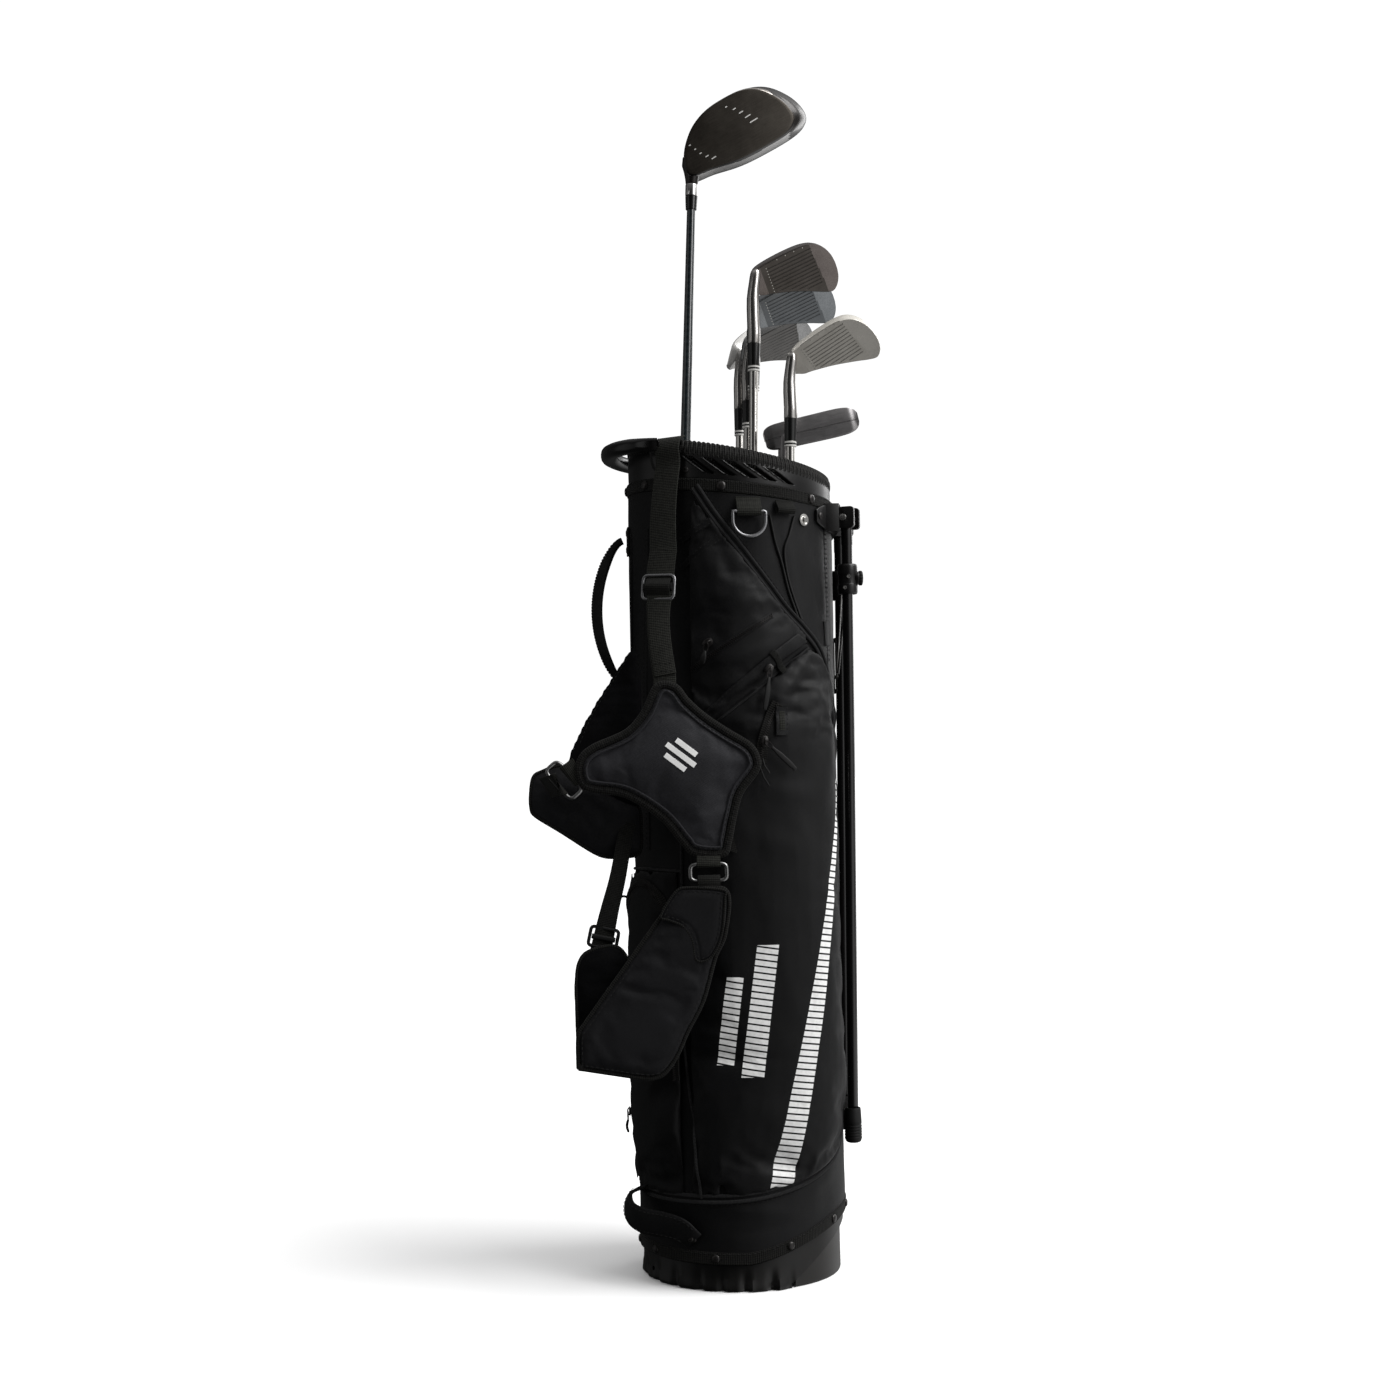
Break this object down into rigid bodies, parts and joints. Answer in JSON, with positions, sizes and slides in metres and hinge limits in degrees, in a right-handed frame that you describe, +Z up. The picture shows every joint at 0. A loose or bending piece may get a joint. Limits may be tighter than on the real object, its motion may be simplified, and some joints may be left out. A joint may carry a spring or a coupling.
{
  "type": "golf club set in a stand bag",
  "caption": "Slim stand bag with hinged legs, pivoting base foot, crossed back harness and moulded cuff, holding a driver, blade irons and a blade putter, heads up",
  "frame": {"origin": "centre of the base boot on the ground", "axes": "+Z up along the bag; +X toward the folding legs; -X toward the spine and the lift handle; -Y toward the harness and the main pocket"},
  "size_m": [0.3535, 0.289, 1.1975],
  "materials": {
    "fabric": "black woven polyester with a fine weave and soft wrinkles",
    "webbing": "dark ribbed webbing",
    "pad_fabric": "quilted black spacer fabric over foam",
    "moulded_plastic": "black moulded plastic, fine grain",
    "foot_plastic": "smooth dark grey-brown moulded plastic",
    "leg_tube": "black anodised tube",
    "rubber": "matt black rubber",
    "steel": "plain bright steel wire and pins",
    "ring_grey": "grey moulded or coated ring",
    "iron_warm": "dark warm grey plated blade with milled grooves",
    "iron_blue": "blue-grey plated blade with milled grooves",
    "iron_light": "light satin chrome blade",
    "putter_satin": "satin grey blade",
    "driver_head": "dark brushed face, glossy grey-black crown",
    "shaft_steel": "polished stepped steel shaft",
    "shaft_dark": "dark teal-black glossy composite shaft",
    "grip_rubber": "black rubber with a fine pattern"
  },
  "bodies": {
    "bag": {"base_boot": "moulded_plastic", "foot_hinge_pin": "steel", "bag_body": "fabric", "top_cuff": "moulded_plastic", "rim_trim": "webbing", "cuff_binding": "webbing", "lift_handle": "moulded_plastic", "club_divider": "webbing", "spine_stay": "moulded_plastic", "main_pocket": "fabric", "upper_pocket": "fabric", "ball_pocket": "fabric", "rear_pocket": "fabric", "towel_ring_tab": "webbing", "leg_bracket": "moulded_plastic", "leg_pin_near": "steel", "leg_pin_far": "steel", "leg_clip": "rubber"},
    "leg_near": {"leg_tube_near": "leg_tube", "leg_clamp_near": "moulded_plastic", "leg_foot_near": "rubber"},
    "leg_far": {"leg_tube_far": "leg_tube", "leg_clamp_far": "moulded_plastic", "leg_foot_far": "rubber"},
    "wire_near": {"brace_wire_near": "steel"},
    "wire_far": {"brace_wire_far": "steel"},
    "foot": {"base_foot": "foot_plastic"},
    "actuator": {"actuator_rod": "steel"},
    "towel_ring_body": {"towel_ring": "ring_grey"},
    "grab_handle_body": {"grab_handle": "moulded_plastic"},
    "harness": {"strap_webbing": "webbing", "harness_pad": "pad_fabric", "pad_ring_lower": "ring_grey", "pad_ring_side": "ring_grey"},
    "slider": {"strap_slider": "moulded_plastic"},
    "shoulder_near": {"shoulder_pad_near": "pad_fabric"},
    "shoulder_far": {"shoulder_pad_far": "pad_fabric", "lower_webbing": "webbing"},
    "zip": {"zip_slider": "ring_grey"},
    "club_driver": {"head_driver": "driver_head", "shaft_driver": "shaft_dark", "grip_driver": "grip_rubber"},
    "club_iron_a": {"head_iron_a": "iron_warm", "shaft_iron_a": "shaft_steel", "grip_iron_a": "grip_rubber"},
    "club_iron_b": {"head_iron_b": "iron_blue", "shaft_iron_b": "shaft_steel", "grip_iron_b": "grip_rubber"},
    "club_iron_c": {"head_iron_c": "iron_warm", "shaft_iron_c": "shaft_steel", "grip_iron_c": "grip_rubber"},
    "club_iron_d": {"head_iron_d": "iron_light", "shaft_iron_d": "shaft_steel", "grip_iron_d": "grip_rubber"},
    "club_iron_e": {"head_iron_e": "iron_light", "shaft_iron_e": "shaft_steel", "grip_iron_e": "grip_rubber"},
    "club_putter": {"head_putter": "putter_satin", "shaft_putter": "shaft_steel", "grip_putter": "grip_rubber"}
  },
  "joints": [
    {"name": "leg_near_swing", "type": "hinge", "parent": "bag", "child": "leg_near", "pos_m": [0.115, -0.035, 0.7455], "axis": [-0.4226, -0.9063, 0], "range_deg": [0, 28], "stiffness_Nm_per_rad": 0.3},
    {"name": "leg_far_swing", "type": "hinge", "parent": "bag", "child": "leg_far", "pos_m": [0.115, 0.035, 0.7455], "axis": [0.4226, -0.9063, 0], "range_deg": [0, 28]},
    {"name": "base_foot_pivot", "type": "hinge", "parent": "bag", "child": "foot", "pos_m": [0.035, 0, 0.0055], "axis": [0, -1, 0], "range_deg": [0, 28]},
    {"name": "actuator_slide", "type": "slide", "parent": "bag", "child": "actuator", "axis": [0, 0, 1], "range_m": [0, 0.0185]},
    {"name": "brace_wire_near_pivot", "type": "hinge", "parent": "leg_near", "child": "wire_near", "pos_m": [0.115, -0.0234, 0.6775], "axis": [0.4969, 0.8591, 0.1227], "range_deg": [0, 50.7]},
    {"name": "brace_wire_far_pivot", "type": "hinge", "parent": "leg_far", "child": "wire_far", "pos_m": [0.115, 0.0234, 0.6775], "axis": [-0.4969, 0.8591, -0.1227], "range_deg": [0, 50.7]},
    {"name": "driver_lift", "type": "slide", "parent": "bag", "child": "club_driver", "axis": [0.0426, 0, 0.9991], "range_m": [0, 1.05]},
    {"name": "iron_a_lift", "type": "slide", "parent": "bag", "child": "club_iron_a", "axis": [0.0236, 0, 0.9997], "range_m": [0, 0.05]},
    {"name": "iron_b_lift", "type": "slide", "parent": "bag", "child": "club_iron_b", "axis": [0.0236, 0, 0.9997], "range_m": [0, 0.07]},
    {"name": "iron_c_lift", "type": "slide", "parent": "bag", "child": "club_iron_c", "axis": [0.0236, 0, 0.9997], "range_m": [0, 0.09]},
    {"name": "iron_d_lift", "type": "slide", "parent": "bag", "child": "club_iron_d", "axis": [0.0236, 0, 0.9997], "range_m": [0, 0.09]},
    {"name": "iron_e_lift", "type": "slide", "parent": "bag", "child": "club_iron_e", "axis": [0.0236, 0, 0.9997], "range_m": [0, 0.86]},
    {"name": "putter_lift", "type": "slide", "parent": "bag", "child": "club_putter", "axis": [0.0236, 0, 0.9997], "range_m": [0, 0.28]},
    {"name": "towel_ring_swing", "type": "hinge", "parent": "bag", "child": "towel_ring_body", "pos_m": [0.01338, -0.10898, 0.7445], "axis": [-0.9925, -0.1219, 0], "range_deg": [0, 100]},
    {"name": "grab_handle_swing", "type": "hinge", "parent": "bag", "child": "grab_handle_body", "pos_m": [-0.109, -0.006, 0.66], "axis": [0, 0, 1], "range_deg": [-40, 40]},
    {"name": "harness_swing", "type": "hinge", "parent": "bag", "child": "harness", "pos_m": [-0.06319, -0.08697, 0.792], "axis": [-0.809, 0.5878, 0], "range_deg": [0, 20]},
    {"name": "strap_slider_slide", "type": "slide", "parent": "harness", "child": "slider", "axis": [-0.0349, -0.1497, -0.9881], "range_m": [-0.006, 0.006]},
    {"name": "shoulder_near_swing", "type": "hinge", "parent": "harness", "child": "shoulder_near", "pos_m": [-0.03, -0.12, 0.394], "axis": [-1, 0, 0], "range_deg": [0, 30]},
    {"name": "shoulder_far_swing", "type": "hinge", "parent": "harness", "child": "shoulder_far", "pos_m": [-0.165, -0.075, 0.5], "axis": [0, 1, 0], "range_deg": [0, 12]},
    {"name": "zip_slider_slide", "type": "slide", "parent": "bag", "child": "zip", "axis": [0.8203, -0.1004, 0.563], "range_m": [0, 0.036]}
  ],
  "couplings": [
    {"joint": "leg_far_swing", "follows": "leg_near_swing", "ratio": 1},
    {"joint": "base_foot_pivot", "follows": "leg_near_swing", "ratio": 1},
    {"joint": "actuator_slide", "follows": "leg_near_swing", "m_per_rad": 0.03765},
    {"joint": "brace_wire_near_pivot", "follows": "leg_near_swing", "ratio": 1.8056},
    {"joint": "brace_wire_far_pivot", "follows": "leg_near_swing", "ratio": 1.8056}
  ]
}
